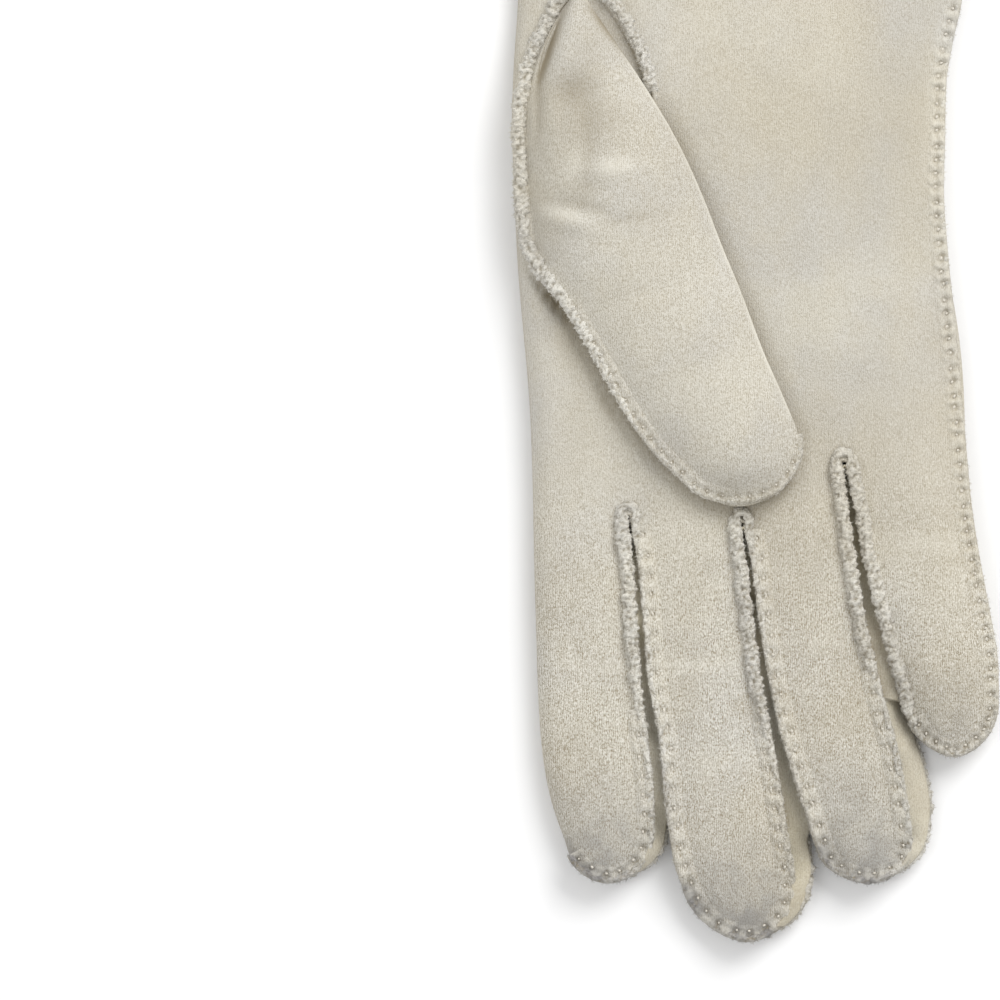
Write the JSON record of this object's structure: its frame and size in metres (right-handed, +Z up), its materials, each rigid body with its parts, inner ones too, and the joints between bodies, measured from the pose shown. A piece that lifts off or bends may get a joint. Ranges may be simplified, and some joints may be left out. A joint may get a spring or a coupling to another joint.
{
  "type": "dress glove",
  "caption": "Hollow dress glove of suede-finish cotton with standing raw seams, lying palm up with the thumb folded over the palm.",
  "frame": {"origin": "bottom centre of the bounding box, on the surface that the glove lies on", "axes": "+Z up out of the palm, +Y from the fingers to the cuff, +X from the index side to the little-finger side"},
  "size_m": [0.0982, 0.2409, 0.018],
  "materials": {
    "cloth": "fine woven cotton with a suede nap, cream, matt",
    "strip_cloth": "the same cotton, a little yellower, matt"
  },
  "bodies": {
    "root": {"trank": "cloth", "thumb": "cloth", "fourchette_index_middle": "strip_cloth", "fourchette_middle_ring": "strip_cloth", "fourchette_ring_little": "strip_cloth"}
  },
  "joints": []
}
